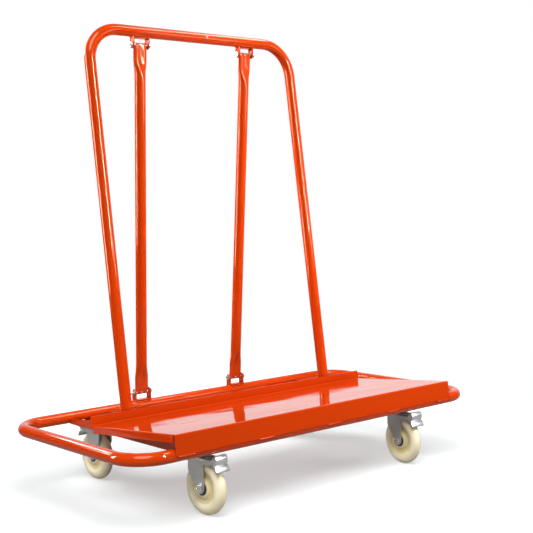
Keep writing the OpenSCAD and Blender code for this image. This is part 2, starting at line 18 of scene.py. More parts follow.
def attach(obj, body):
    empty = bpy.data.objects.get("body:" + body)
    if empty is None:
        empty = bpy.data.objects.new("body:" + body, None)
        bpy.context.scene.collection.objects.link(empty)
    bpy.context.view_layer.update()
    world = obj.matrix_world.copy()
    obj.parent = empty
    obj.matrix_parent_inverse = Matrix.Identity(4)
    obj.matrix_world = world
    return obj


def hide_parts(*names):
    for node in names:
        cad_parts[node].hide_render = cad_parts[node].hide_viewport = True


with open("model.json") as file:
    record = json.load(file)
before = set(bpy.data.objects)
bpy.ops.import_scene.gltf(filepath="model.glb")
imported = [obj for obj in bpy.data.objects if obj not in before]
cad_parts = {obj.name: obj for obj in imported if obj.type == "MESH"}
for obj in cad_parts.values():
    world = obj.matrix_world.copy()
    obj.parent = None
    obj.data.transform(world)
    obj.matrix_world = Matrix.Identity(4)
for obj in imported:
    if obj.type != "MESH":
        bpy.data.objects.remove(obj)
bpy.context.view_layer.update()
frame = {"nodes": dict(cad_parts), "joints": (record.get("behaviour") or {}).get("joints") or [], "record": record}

LOG = logging.getLogger("drywall_cart")
MM = 0.001
WHITE = (1.0, 1.0, 1.0)
SIDES = (("left", -1), ("right", 1))
Point = tuple[float, float, float]
Flat = tuple[float, float]
Strength = float | bpy.types.NodeSocket
Inputs = Mapping[str | int, Any]


class Slot(Enum):
    """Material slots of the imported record."""

    PAINT = "orange_paint"
    ZINC = "zinc"
    BRIGHT = "bright_zinc"
    NYLON = "nylon"
    RUBBER = "black_rubber"
    STEEL = "steel"


class Role(Enum):
    """What a lamp is for: to light the surfaces, or to show in their gloss."""

    FILL = "fill"
    GLINT = "glint"


class Blend(Enum):
    """How two colours are put together."""

    MIX = "MIX"
    MULTIPLY = "MULTIPLY"


class Cut(Enum):
    """How a tool shape acts on a piece."""

    TAKE_AWAY = "DIFFERENCE"
    KEEP_COMMON = "INTERSECT"
    ADD = "UNION"


def opaque(colour: Point) -> tuple[float, ...]:
    """Add full alpha to a colour."""
    return (*colour, 1.0)


@dataclass(frozen=True)
class Wiring:
    """Short ways to add and join the nodes of one tree."""

    tree: bpy.types.NodeTree

    # Places of a Mix node's sockets, several of which share a name: those of numbers, then those of colours
    FACTOR, LOW, HIGH, LEVEL = 0, 2, 3, 0
    FIRST, SECOND, COLOUR = 6, 7, 2

    def fill(self, node: bpy.types.Node, inputs: Inputs) -> bpy.types.Node:
        """Link inputs of a node to sockets, or give them constant values.

        Args:
            node: The node.
            inputs: Names or numbers of inputs, with the socket or the value for each.

        Returns:
            The same node.
        """
        for name, value in inputs.items():
            if isinstance(value, bpy.types.NodeSocket):
                self.tree.links.new(value, node.inputs[name])
            else:
                node.inputs[name].default_value = value
        return node

    def add(self, kind: str, inputs: Inputs | None = None, **settings: Any) -> bpy.types.Node:
        """Add a node to the tree.

        Args:
            kind: Blender's name for the kind of node.
            inputs: What its inputs get.
            settings: Values of the node's own properties.

        Returns:
            The new node.
        """
        node = self.tree.nodes.new(kind)
        for name, value in settings.items():
            setattr(node, name, value)
        return self.fill(node, inputs or {})

    def blend(self, factor: Any, first: Any, second: Any, way: Blend = Blend.MIX) -> bpy.types.NodeSocket:
        """Put two colours together.

        Args:
            factor: Share of the second colour, as a socket or a value.
            first: The first colour, as a socket or a value.
            second: The second colour, as a socket or a value.
            way: How they are put together.

        Returns:
            Socket of the new colour.
        """
        inputs = {self.FACTOR: factor, self.FIRST: first, self.SECOND: second}
        node = self.add("ShaderNodeMix", inputs, data_type="RGBA", blend_type=way.value)
        return node.outputs[self.COLOUR]

    def ramp(self, value: bpy.types.NodeSocket, edge: Flat, span: Flat,
             kind: str = "SMOOTHSTEP") -> bpy.types.NodeSocket:
        """Turn one range of values into another.

        Args:
            value: Socket of the value.
            edge: Ends of the range that comes in.
            span: What those ends become.
            kind: Blender's name for the way from one end to the other.

        Returns:
            Socket of the new value.
        """
        ends = zip(("From Min", "From Max", "To Min", "To Max"), (*edge, *span))
        inputs = {"Value": value, **dict(ends)}
        return self.add("ShaderNodeMapRange", inputs, interpolation_type=kind).outputs[0]


class SurfaceGroup:
    """Shader group that all finishes share: slow changes of tone and gloss, fine grain and long waves."""

    NAME = "surface_variation"
    INPUTS = {
        "Vector": "Vector", "Colour": "Color", "Tint": "Color", "Tone Scale": "Float", "Tone Amount": "Float",
        "Roughness": "Float", "Gloss Spread": "Float", "Grain Scale": "Float", "Wave Scale": "Float",
    }
    OUTPUTS = {"Colour": "Color", "Roughness": "Float", "Height": "Float", "Wave": "Float"}
    DETAIL = {"Tone": 4.0, "Grain": 2.0, "Wave": 1.0}
    MIDDLE = 0.5

    @classmethod
    def get(cls) -> bpy.types.NodeTree:
        """Build the group once.

        Returns:
            The shader node group.
        """
        found = bpy.data.node_groups.get(cls.NAME)
        if found:
            return found
        tree = bpy.data.node_groups.new(cls.NAME, "ShaderNodeTree")
        for way, sockets in (("INPUT", cls.INPUTS), ("OUTPUT", cls.OUTPUTS)):
            for name, kind in sockets.items():
                tree.interface.new_socket(name, in_out=way, socket_type=f"NodeSocket{kind}")
        wiring = Wiring(tree)
        given = wiring.add("NodeGroupInput").outputs
        noise = {}
        for name, detail in cls.DETAIL.items():
            inputs = {"Vector": given["Vector"], "Scale": given[f"{name} Scale"], "Detail": detail}
            noise[name] = wiring.add("ShaderNodeTexNoise", inputs).outputs["Fac"]
        tone = noise["Tone"]
        share = wiring.add("ShaderNodeMath", {0: tone, 1: given["Tone Amount"]}, operation="MULTIPLY")
        centred = wiring.add("ShaderNodeMath", {0: tone, 1: cls.MIDDLE}, operation="SUBTRACT")
        spread = {0: centred.outputs[0], 1: given["Gloss Spread"], 2: given["Roughness"]}
        gloss = wiring.add("ShaderNodeMath", spread, operation="MULTIPLY_ADD")
        wiring.add("NodeGroupOutput", {
            "Colour": wiring.blend(share.outputs[0], given["Colour"], given["Tint"]),
            "Roughness": gloss.outputs[0],
            "Height": noise["Grain"],
            "Wave": noise["Wave"],
        })
        return tree


@dataclass(frozen=True)
class Finish:
    """One finish: its colour, gloss and grain, how they vary over the surface, and the shade painted into its
    corners and hollows.
    """

    name: str
    colour: Point
    tint: Point
    roughness: float
    metallic: float = 0.0
    specular: float = 0.5
    sheen_tone: Point = WHITE
    subsurface: float = 0.0
    subsurface_reach: Point = (0.012, 0.008, 0.004)
    tone_scale: float = 8.0
    tone_amount: float = 0.4
    gloss_spread: float = 0.1
    grain_scale: float = 500.0
    grain_depth: float = 0.00002
    # Painted shade: the colour darkens in corners and hollows, by ambient occlusion
    painted_shade: float = 0.0
    shade_reach: float = 0.03
    shade_edge: Flat = (0.15, 0.62)
    shade_samples: int = 8
    wave_scale: float = 5.0
    wave_depth: float = 0.0
    stretch: Point = (1.0, 1.0, 1.0)

    def _painted_shade_in_hollows(self, wiring: Wiring, colour: bpy.types.NodeSocket) -> bpy.types.NodeSocket:
        """Paint shade into a colour in corners and hollows, found by ambient occlusion.

        Args:
            wiring: Wiring of the material.
            colour: Socket of the colour before the painted shade.

        Returns:
            Socket of the colour with the painted shade.
        """
        reach = {"Distance": self.shade_reach}
        hollow = wiring.add("ShaderNodeAmbientOcclusion", reach, samples=self.shade_samples)
        shade = wiring.ramp(hollow.outputs["AO"], self.shade_edge, (1.0 - self.painted_shade, 1.0), "LINEAR")
        return wiring.blend(1.0, colour, shade, Blend.MULTIPLY)

    def material(self) -> bpy.types.Material:
        """Build the material once.

        Returns:
            The material of this finish.
        """
        found = bpy.data.materials.get(self.name)
        if found:
            return found
        material = bpy.data.materials.new(self.name)
        material.use_nodes = True
        wiring = Wiring(material.node_tree)
        place = wiring.add("ShaderNodeTexCoord").outputs["Object"]
        mapping = wiring.add("ShaderNodeMapping", {"Vector": place, "Scale": self.stretch})
        surface = wiring.add("ShaderNodeGroup", {
            "Vector": mapping.outputs["Vector"],
            "Colour": opaque(self.colour),
            "Tint": opaque(self.tint),
            "Tone Scale": self.tone_scale,
            "Tone Amount": self.tone_amount,
            "Roughness": self.roughness,
            "Gloss Spread": self.gloss_spread,
            "Grain Scale": self.grain_scale,
            "Wave Scale": self.wave_scale,
        }, node_tree=SurfaceGroup.get()).outputs
        bump = wiring.add("ShaderNodeBump", {"Distance": self.grain_depth, "Height": surface["Height"]})
        if self.wave_depth:
            swell = wiring.add("ShaderNodeBump", {"Distance": self.wave_depth, "Height": surface["Wave"]})
            wiring.fill(bump, {"Normal": swell.outputs["Normal"]})
        colour = surface["Colour"]
        wiring.fill(material.node_tree.nodes["Principled BSDF"], {
            # Painted shade in corners and hollows darkens the base colour
            "Base Color": self._painted_shade_in_hollows(wiring, colour) if self.painted_shade else colour,
            "Roughness": surface["Roughness"],
            "Normal": bump.outputs["Normal"],
            "Metallic": self.metallic,
            "Specular IOR Level": self.specular,
            "Specular Tint": opaque(self.sheen_tone),
            "Subsurface Weight": self.subsurface,
            "Subsurface Radius": self.subsurface_reach,
            "Subsurface Scale": 1.0,
        })
        return material


ORANGE = (0.64, 0.049, 0.003)
DEEP_ORANGE = (0.58, 0.042, 0.0025)
POWDER_COAT = Finish(
    "orange_powder_coat", ORANGE, DEEP_ORANGE, 0.07,
    specular=0.32, sheen_tone=(1.0, 0.88, 0.62),
    tone_scale=6.0, gloss_spread=0.06, grain_scale=420.0, grain_depth=0.00003,
    # Painted shade in corners and hollows
    painted_shade=0.80, shade_reach=0.07, shade_edge=(0.15, 0.66),
)
SHEET_COAT = Finish(
    "orange_sheet_coat", ORANGE, DEEP_ORANGE, 0.05, specular=0.52,
    tone_scale=6.0, gloss_spread=0.04, grain_scale=420.0, grain_depth=0.00003,
    # Painted shade in corners and hollows, reaching further under the deck
    painted_shade=0.85, shade_reach=0.11, shade_edge=(0.20, 0.66),
    wave_scale=6.0, wave_depth=0.003, stretch=(0.6, 1.3, 1.0),
)
ZINC_PLATE = Finish(
    "zinc_plate", (0.54, 0.55, 0.525), (0.45, 0.455, 0.43), 0.38,
    metallic=0.55, tone_scale=45.0, tone_amount=0.6, gloss_spread=0.2, grain_scale=900.0,
)
BRIGHT_PLATE = Finish(
    "bright_plate", (0.62, 0.62, 0.63), (0.54, 0.55, 0.57), 0.34,
    metallic=0.8, tone_scale=60.0, gloss_spread=0.1, grain_scale=700.0, grain_depth=0.00001,
)
CREAM_NYLON = Finish(
    "cream_nylon", (0.93, 0.86, 0.62), (0.90, 0.80, 0.50), 0.50, specular=0.35,
    subsurface=0.35, tone_scale=25.0, tone_amount=0.5, grain_scale=300.0, grain_depth=0.00004,
)
# Painted shade: the wheel's recesses in a darker, deeper yellow than the same nylon outside them
SHADED_RECESS_NYLON = Finish(
    "shaded_recess_nylon", (0.86, 0.74, 0.36), (0.78, 0.64, 0.27), 0.42,
    subsurface=0.25, tone_scale=25.0, tone_amount=0.5, grain_scale=300.0, grain_depth=0.00004,
)
BLACK_RUBBER = Finish(
    "black_rubber", (0.012, 0.012, 0.012), (0.025, 0.024, 0.022), 0.55,
    tone_scale=60.0, tone_amount=0.8, gloss_spread=0.2, grain_scale=900.0, grain_depth=0.00005,
)
BRIGHT_FASTENER = Finish(
    "bright_fastener", (0.80, 0.80, 0.79), (0.66, 0.66, 0.65), 0.24,
    metallic=0.9, tone_scale=90.0, gloss_spread=0.15, grain_scale=1200.0, grain_depth=0.00001,
)
TURNED_STEEL = Finish(
    "turned_steel", (0.50, 0.505, 0.52), (0.40, 0.40, 0.41), 0.28,
    metallic=1.0, tone_scale=80.0, gloss_spread=0.15, grain_scale=1200.0,
)
FINISHES: dict[Slot, Finish] = {
    Slot.PAINT: POWDER_COAT,
    Slot.ZINC: ZINC_PLATE,
    Slot.BRIGHT: BRIGHT_PLATE,
    Slot.NYLON: CREAM_NYLON,
    Slot.RUBBER: BLACK_RUBBER,
    Slot.STEEL: TURNED_STEEL,
}
NODE_FINISHES: dict[str, Finish] = {"deck_tray": SHEET_COAT}


@dataclass(frozen=True)
class Softbox:
    """One soft lamp. Metres, watts and degrees."""

    name: str
    role: Role
    place: Point
    target: Point
    size: Flat
    power: float
    spread: float = 180.0

    def hang(self, spared: bpy.types.Collection) -> None:
        """Add the lamp to the scene.

        Args:
            spared: Group that keeps a glint lamp off the flat sheets.
        """
        data = bpy.data.lights.new(self.name, "AREA")
        data.shape = "RECTANGLE"
        data.size, data.size_y = self.size
        data.energy = self.power
        data.spread = math.radians(self.spread)
        lamp = bpy.data.objects.new(self.name, data)
        lamp.location = self.place
        aim = Vector(self.target) - Vector(self.place)
        lamp.rotation_euler = aim.to_track_quat("-Z", "Y").to_euler()
        glint = self.role is Role.GLINT
        lamp.visible_camera = False
        lamp.visible_diffuse = not glint
        lamp.visible_glossy = glint
        if glint:
            lamp.light_linking.receiver_collection = spared
        bpy.context.scene.collection.objects.link(lamp)


MIDDLE = (0.0, 0.0, 0.6)
UPPER = (0.0, 0.25, 0.95)
SOFTBOXES = (
    Softbox("front_box", Role.FILL, (2.0, -1.7, 1.3), MIDDLE, (0.8, 1.2), 20.0),
    Softbox("top_fill", Role.FILL, (1.6, -1.35, 1.0), UPPER, (0.9, 0.9), 6.5, 55.0),
    Softbox("left_box", Role.FILL, (-1.6, 2.4, 1.5), (0.0, 0.25, 1.2), (0.8, 1.2), 12.0, 45.0),
    Softbox("low_fill", Role.FILL, (-3.0, -0.8, 0.34), (0.0, -0.2, 0.06), (1.2, 0.35), 9.0),
    Softbox("front_strip", Role.GLINT, (0.7, -2.8, 1.8), UPPER, (0.26, 1.2), 170.0),
    Softbox("front_glow", Role.GLINT, (1.65, -2.05, 1.1), (-0.18, 0.21, 1.1), (0.5, 0.3), 7.0),
    Softbox("left_strip", Role.GLINT, (-2.5, 1.5, 1.2), UPPER, (0.45, 1.6), 95.0),
    Softbox("ear_strip", Role.GLINT, (-1.85, 2.6, 1.7), UPPER, (0.3, 0.4), 9.0),
    Softbox("back_strip", Role.GLINT, (-0.76, 2.36, 1.84), (-0.56, -0.1, 0.17), (0.24, 0.44), 14.0),
    Softbox("overhead", Role.GLINT, (1.72, -0.52, 3.36), (0.0, 0.2, 1.1), (2.4, 0.5), 60.0),
)


@dataclass(frozen=True)
class Studio:
    """White room: a floor that keeps the shadow, soft lamps, and the camera at the photograph's place."""

    position: Point = (-1.81331, -2.16984, 0.71628)
    yaw: float = 49.15
    pitch: float = -3.45
    roll: float = -1.41
    focal_px: float = 1068.55
    image_px: float = 533.0
    sensor_mm: float = 36.0
    view_end: float = 200.0
    floor_half: float = 1.3
    floor_colour: Point = (0.470, 0.50, 0.505)
    floor_bounce: Point = (0.30, 0.30, 0.30)
    floor_roughness: float = 0.9
    floor_glow: float = 0.46
    floor_fade: Flat = (0.60, 1.10)
    floor_gloss: float = 0.12
    ambient: float = 0.09
    backdrop_side: Point = (0.65, 0.75, 0.1)
    backdrop_edge: Flat = (0.45, 0.95)
    dim_room: float = 0.01
    key_side: Point = (-0.42, -0.48, 1.0)
    key_power: float = 3.6
    key_spread: float = 42.0
    sheets: tuple[str, ...] = ("deck_tray", "left_channel", "right_channel")

    def camera(self) -> None:
        """Place the camera and make it the scene's own."""
        yaw, pitch, roll = (math.radians(angle) for angle in (self.yaw, self.pitch, self.roll))
        level = math.cos(pitch)
        ahead = Vector((math.cos(yaw) * level, math.sin(yaw) * level, math.sin(pitch)))
        side = ahead.cross(Vector((0, 0, 1))).normalized()
        rise = side.cross(ahead)
        right = side * math.cos(roll) + rise * math.sin(roll)
        up = rise * math.cos(roll) - side * math.sin(roll)
        lens = bpy.data.cameras.new("photo_camera")
        lens.sensor_width = self.sensor_mm
        lens.lens = self.focal_px * self.sensor_mm / self.image_px
        lens.clip_end = self.view_end
        camera = bpy.data.objects.new("photo_camera", lens)
        turn = Matrix((right, up, -ahead)).transposed().to_4x4()
        camera.matrix_world = Matrix.Translation(self.position) @ turn
        bpy.context.scene.collection.objects.link(camera)
        bpy.context.scene.camera = camera

    @staticmethod
    def _by_ray(wiring: Wiring, plain: Strength, glossy: Strength, shown: Strength) -> Strength:
        """Make a strength that depends on the kind of ray.

        Args:
            wiring: Wiring of the tree that the strength is for.
            plain: Strength for the rays that light the object.
            glossy: Strength that gloss shows.
            shown: Strength that the camera and clear materials show.

        Returns:
            Socket of the strength.
        """
        path = wiring.add("ShaderNodeLightPath").outputs
        level = plain
        rays = (("Is Glossy Ray", glossy), ("Is Transmission Ray", shown), ("Is Camera Ray", shown))
        for ray, strength in rays:
            inputs = {wiring.FACTOR: path[ray], wiring.LOW: level, wiring.HIGH: strength}
            level = wiring.add("ShaderNodeMix", inputs).outputs[wiring.LEVEL]
        return level

    def world(self) -> None:
        """White surroundings: gloss sees a white backdrop behind the cart and a dim room before it."""
        world = bpy.data.worlds.new("white_room")
        world.use_nodes = True
        world.cycles.sampling_method = "NONE"
        wiring = Wiring(world.node_tree)
        place = wiring.add("ShaderNodeTexCoord").outputs["Generated"]
        sides = {0: place, 1: self.backdrop_side}
        facing = wiring.add("ShaderNodeVectorMath", sides, operation="DOT_PRODUCT").outputs["Value"]
        backdrop = wiring.ramp(facing, self.backdrop_edge, (self.dim_room, 1.0))
        wiring.fill(world.node_tree.nodes["Background"], {
            "Color": opaque(WHITE),
            "Strength": self._by_ray(wiring, self.ambient, backdrop, 1.0),
        })
        bpy.context.scene.world = world

    def floor(self) -> None:
        """Pale floor that is white where no shadow falls."""
        Bench.clear()
        bpy.ops.mesh.primitive_plane_add(size=2 * self.floor_half, location=(0, 0, 0))
        floor = Bench.named("studio_floor")
        material = bpy.data.materials.new("studio_floor")
        material.use_nodes = True
        wiring = Wiring(material.node_tree)
        seen = wiring.add("ShaderNodeLightPath").outputs["Is Camera Ray"]
        place = wiring.add("ShaderNodeTexCoord").outputs["Object"]
        reach = wiring.add("ShaderNodeVectorMath", {0: place}, operation="LENGTH").outputs["Value"]
        fade = wiring.ramp(reach, self.floor_fade, (self.floor_glow, 1.0))
        wiring.fill(material.node_tree.nodes["Principled BSDF"], {
            "Base Color": wiring.blend(seen, opaque(self.floor_bounce), opaque(self.floor_colour)),
            "Roughness": self.floor_roughness,
            "Specular IOR Level": 0.0,
            "Emission Color": opaque(WHITE),
            "Emission Strength": self._by_ray(wiring, 0.0, self.floor_gloss, fade),
        })
        floor.data.materials.append(material)

    def key(self) -> None:
        """Add the broad soft light from above, which the floor's shadow comes from."""
        data = bpy.data.lights.new("key", "SUN")
        data.energy = self.key_power
        data.angle = math.radians(self.key_spread)
        lamp = bpy.data.objects.new("key", data)
        lamp.rotation_euler = Vector(self.key_side).to_track_quat("Z", "Y").to_euler()
        bpy.context.scene.collection.objects.link(lamp)

    def softboxes(self) -> None:
        """Hang the soft lamps. Glint lamps are kept off the flat sheets, where they show as white patches."""
        spared = bpy.data.collections.new("spared_sheets")
        for name in self.sheets:
            spared.objects.link(frame["nodes"][name])
        for member in spared.collection_objects:
            member.light_linking.link_state = "EXCLUDE"
        for softbox in SOFTBOXES:
            softbox.hang(spared)

    def build(self) -> None:
        """Set up the whole studio."""
        bpy.context.scene.view_settings.view_transform = "Standard"
        self.camera()
        self.world()
        self.floor()
        self.key()
        self.softboxes()


def arc(centre: Flat, radius: float, start: float, end: float, steps: int) -> list[Flat]:
    """Points along an arc.

    Args:
        centre: Centre of the arc.
        radius: Its radius.
        start: Angle of its first point, in degrees.
        end: Angle of its last point, in degrees.
        steps: Number of steps between them.

    Returns:
        The points, both ends included.
    """
    angles = (math.radians(start + (end - start) * i / steps) for i in range(steps + 1))
    return [(centre[0] + radius * math.cos(a), centre[1] + radius * math.sin(a)) for a in angles]


def scaled(points: Iterable[Sequence[float]]) -> list[tuple[float, ...]]:
    """Turn millimetres into metres."""
    return [tuple(v * MM for v in point) for point in points]


def shift(x: float, y: float, z: float) -> Matrix:
    """Make a translation from millimetres."""
    return Matrix.Translation((x * MM, y * MM, z * MM))


def ease(share: float) -> float:
    """Smooth step from 0 to 1."""
    share = min(max(share, 0.0), 1.0)
    return share * share * (3 - 2 * share)


class Bench:
    """Modelling steps that the pieces share, done with Blender's own operators. Millimetres."""

    MERGE_M = 1e-6

    @staticmethod
    def clear() -> None:
        """Leave edit mode and deselect everything."""
        if bpy.context.object and bpy.context.object.mode != "OBJECT":
            bpy.ops.object.mode_set(mode="OBJECT")
        bpy.ops.object.select_all(action="DESELECT")

    @staticmethod
    def only(piece: bpy.types.Object) -> None:
        """Select one piece alone and make it active.

        Args:
            piece: The piece.
        """
        Bench.clear()
        piece.select_set(True)
        bpy.context.view_layer.objects.active = piece

    @staticmethod
    def named(name: str) -> bpy.types.Object:
        """Name the active object and its mesh.

        Args:
            name: The piece's name.

        Returns:
            The active object.
        """
        piece = bpy.context.object
        piece.name = name
        piece.data.name = name
        return piece

    @staticmethod
    def settle() -> None:
        """Put the active piece's place into its mesh."""
        bpy.ops.object.transform_apply(location=True, rotation=True, scale=True)

    @staticmethod
    def push(step: Sequence[float]) -> None:
        """Extrude what is selected, by a step in metres."""
        bpy.ops.mesh.extrude_region_move(TRANSFORM_OT_translate={"value": tuple(step)})

    @staticmethod
    def close() -> None:
        """Merge doubles, turn the faces outwards and leave edit mode."""
        bpy.ops.mesh.select_all(action="SELECT")
        bpy.ops.mesh.remove_doubles(threshold=Bench.MERGE_M)
        bpy.ops.mesh.normals_make_consistent(inside=False)
        bpy.ops.object.mode_set(mode="OBJECT")

    @staticmethod
    def path(name: str, points: Sequence[Point]) -> bpy.types.Object:
        """Draw a chain of edges, and stay in edit mode with it all selected.

        Args:
            name: Name of the new piece.
            points: The chain's points.

        Returns:
            The new piece.
        """
        chain = [Vector(point) for point in scaled(points)]
        Bench.clear()
        bpy.ops.mesh.primitive_plane_add(size=MM, location=(0, 0, 0))
        piece = Bench.named(name)
        bpy.ops.object.mode_set(mode="EDIT")
        bpy.ops.mesh.select_mode(type="VERT")
        bpy.ops.mesh.select_all(action="SELECT")
        bpy.ops.mesh.merge(type="CENTER")
        bpy.ops.transform.translate(value=chain[0])
        for start, end in zip(chain, chain[1:]):
            Bench.push(end - start)
        bpy.ops.mesh.select_all(action="SELECT")
        return piece

    @staticmethod
    def lathe(name: str, profile: Sequence[Flat], steps: int) -> bpy.types.Object:
        """Turn a profile round the X axis.

        Args:
            name: Name of the new piece.
            profile: Pairs of place along X and radius. A closed profile repeats its first pair.
            steps: Number of steps round.

        Returns:
            The new piece, in object mode.
        """
        piece = Bench.path(name, [(x, 0.0, r) for x, r in profile])
        bpy.ops.mesh.spin(steps=steps, angle=2 * math.pi, center=(0, 0, 0), axis=(1, 0, 0))
        Bench.close()
        return piece

    @staticmethod
    def plate(name: str, outline: Sequence[Flat], inner: float, outer: float) -> bpy.types.Object:
        """Cut a plate that stands square to X.

        Args:
            name: Name of the new piece.
            outline: The plate's corners as pairs of Y and Z.
            inner: X of its first face.
            outer: X of its second face.

        Returns:
            The new piece, in object mode.
        """
        piece = Bench.path(name, [(inner, y, z) for y, z in outline])
        bpy.ops.mesh.edge_face_add()
        Bench.push((outer * MM - inner * MM, 0, 0))
        Bench.close()
        return piece

    @staticmethod
    def ribbon(name: str, points: Sequence[Flat], half: float) -> bpy.types.Object:
        """Bend a strip of sheet that runs across X.

        Args:
            name: Name of the new piece.
            points: The strip's path as pairs of Y and Z.
            half: Half of its width.

        Returns:
            The new piece without thickness, in object mode.
        """
        piece = Bench.path(name, [(-half, y, z) for y, z in points])
        Bench.push((2 * half * MM, 0, 0))
        bpy.ops.mesh.select_all(action="SELECT")
        bpy.ops.mesh.normals_make_consistent(inside=False)
        bpy.ops.object.mode_set(mode="OBJECT")
        return piece

    @staticmethod
    def block(name: str, low: Point, high: Point) -> bpy.types.Object:
        """Start from a cube with two given corners.

        Args:
            name: Name of the new piece.
            low: Its lowest corner.
            high: Its highest corner.

        Returns:
            The new piece, in object mode.
        """
        first, last = (Vector(corner) for corner in scaled((low, high)))
        Bench.clear()
        bpy.ops.mesh.primitive_cube_add(size=1.0, location=(first + last) / 2, scale=last - first)
        piece = Bench.named(name)
        Bench.settle()
        return piece

    @staticmethod
    def modify(piece: bpy.types.Object, kind: str, **settings: Any) -> None:
        """Add a modifier to a piece and apply it.

        Args:
            piece: The piece.
            kind: Blender's name for the kind of modifier.
            settings: Values of the modifier's own properties, in metres.
        """
        Bench.only(piece)
        step = piece.modifiers.new("step", kind)
        for name, value in settings.items():
            setattr(step, name, value)
        bpy.ops.object.modifier_apply(modifier=step.name)

    @staticmethod
    def soften(piece: bpy.types.Object, width: float, segments: int = 2, angle: float = 35.0) -> None:
        """Round a piece's sharp edges and shade it smooth.

        Args:
            piece: The piece.
            width: Width of the rounding.
            segments: Number of faces over the rounding.
            angle: Edges sharper than this many degrees are rounded.
        """
        Bench.modify(
            piece, "BEVEL", width=width * MM, segments=segments,
            limit_method="ANGLE", angle_limit=math.radians(angle),
        )
        Bench.smooth(piece)

    @staticmethod
    def smooth(piece: bpy.types.Object, angle: float = 40.0) -> None:
        """Shade a piece smooth except over edges sharper than an angle in degrees."""
        Bench.only(piece)
        bpy.ops.object.shade_smooth_by_angle(angle=math.radians(angle))

    @staticmethod
    def cut(piece: bpy.types.Object, tool: bpy.types.Object, way: Cut) -> None:
        """Let a closed tool shape act on a piece, and delete the tool."""
        Bench.modify(piece, "BOOLEAN", operation=way.value, object=tool, solver="EXACT")
        Bench.drop(tool)

    @staticmethod
    def round_top(piece: bpy.types.Object, radius: float, segments: int = 5) -> None:
        """Round the two edges that run along Y at a block's top.

        Args:
            piece: The block.
            radius: Radius of the rounding.
            segments: Number of faces over the rounding.
        """
        Bench.only(piece)
        bpy.ops.object.mode_set(mode="EDIT")
        bpy.ops.mesh.select_mode(type="EDGE")
        bpy.ops.mesh.select_all(action="DESELECT")
        mesh = bmesh.from_edit_mesh(piece.data)
        top = max(vertex.co.z for vertex in mesh.verts) - MM
        for edge in mesh.edges:
            start, end = (vertex.co for vertex in edge.verts)
            edge.select_set(min(start.z, end.z) > top and abs(start.x - end.x) < MM)
        bmesh.update_edit_mesh(piece.data)
        bpy.ops.mesh.bevel(offset=radius * MM, segments=segments, profile=0.5, affect="EDGES")
        bpy.ops.object.mode_set(mode="OBJECT")

    @staticmethod
    def shape(piece: bpy.types.Object, move: Callable[[Vector], Vector]) -> None:
        """Move each point of a piece, as with a sculpting tool.

        Args:
            piece: The piece.
            move: Gives a point's new place from its old one, in metres.
        """
        for vertex in piece.data.vertices:
            vertex.co = move(vertex.co.copy())
        piece.data.update()

    @staticmethod
    def join(name: str, pieces: Sequence[bpy.types.Object]) -> bpy.types.Object:
        """Join several meshes into one piece.

        Args:
            name: Name of the joined piece.
            pieces: The meshes.

        Returns:
            The joined piece.
        """
        Bench.only(pieces[0])
        for piece in pieces:
            piece.select_set(True)
        bpy.ops.object.join()
        return Bench.named(name)

    @staticmethod
    def copy(piece: bpy.types.Object, name: str) -> bpy.types.Object:
        """Copy a piece with a mesh of its own.

        Args:
            piece: The piece to copy.
            name: Name of the copy.

        Returns:
            The copy.
        """
        Bench.only(piece)
        bpy.ops.object.duplicate(linked=False)
        return Bench.named(name)

    @staticmethod
    def place(piece: bpy.types.Object, matrix: Matrix) -> None:
        """Move a piece, and put its place into its mesh.

        Args:
            piece: The piece.
            matrix: Its place in the row frame.
        """
        Bench.only(piece)
        piece.matrix_world = matrix
        Bench.settle()

    @staticmethod
    def drop(piece: bpy.types.Object) -> None:
        """Delete a tool, or a pattern after its copies are made."""
        Bench.only(piece)
        bpy.ops.object.delete()

    @staticmethod
    def dress(piece: bpy.types.Object, slot: Slot, body: str, replaced: Sequence[str] = ()) -> None:
        """Give a finished piece its finish, its body and the nodes that it stands for.

        Args:
            piece: The piece.
            slot: Its material slot in the record.
            body: The CAD body that it rides on.
            replaced: CAD nodes that it stands for.
        """
        if not piece.data.materials:
            piece.data.materials.append(FINISHES[slot].material())
        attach(piece, body)
        if replaced:
            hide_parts(*replaced)
        LOG.info("%s: %d faces on %s", piece.name, len(piece.data.polygons), body)


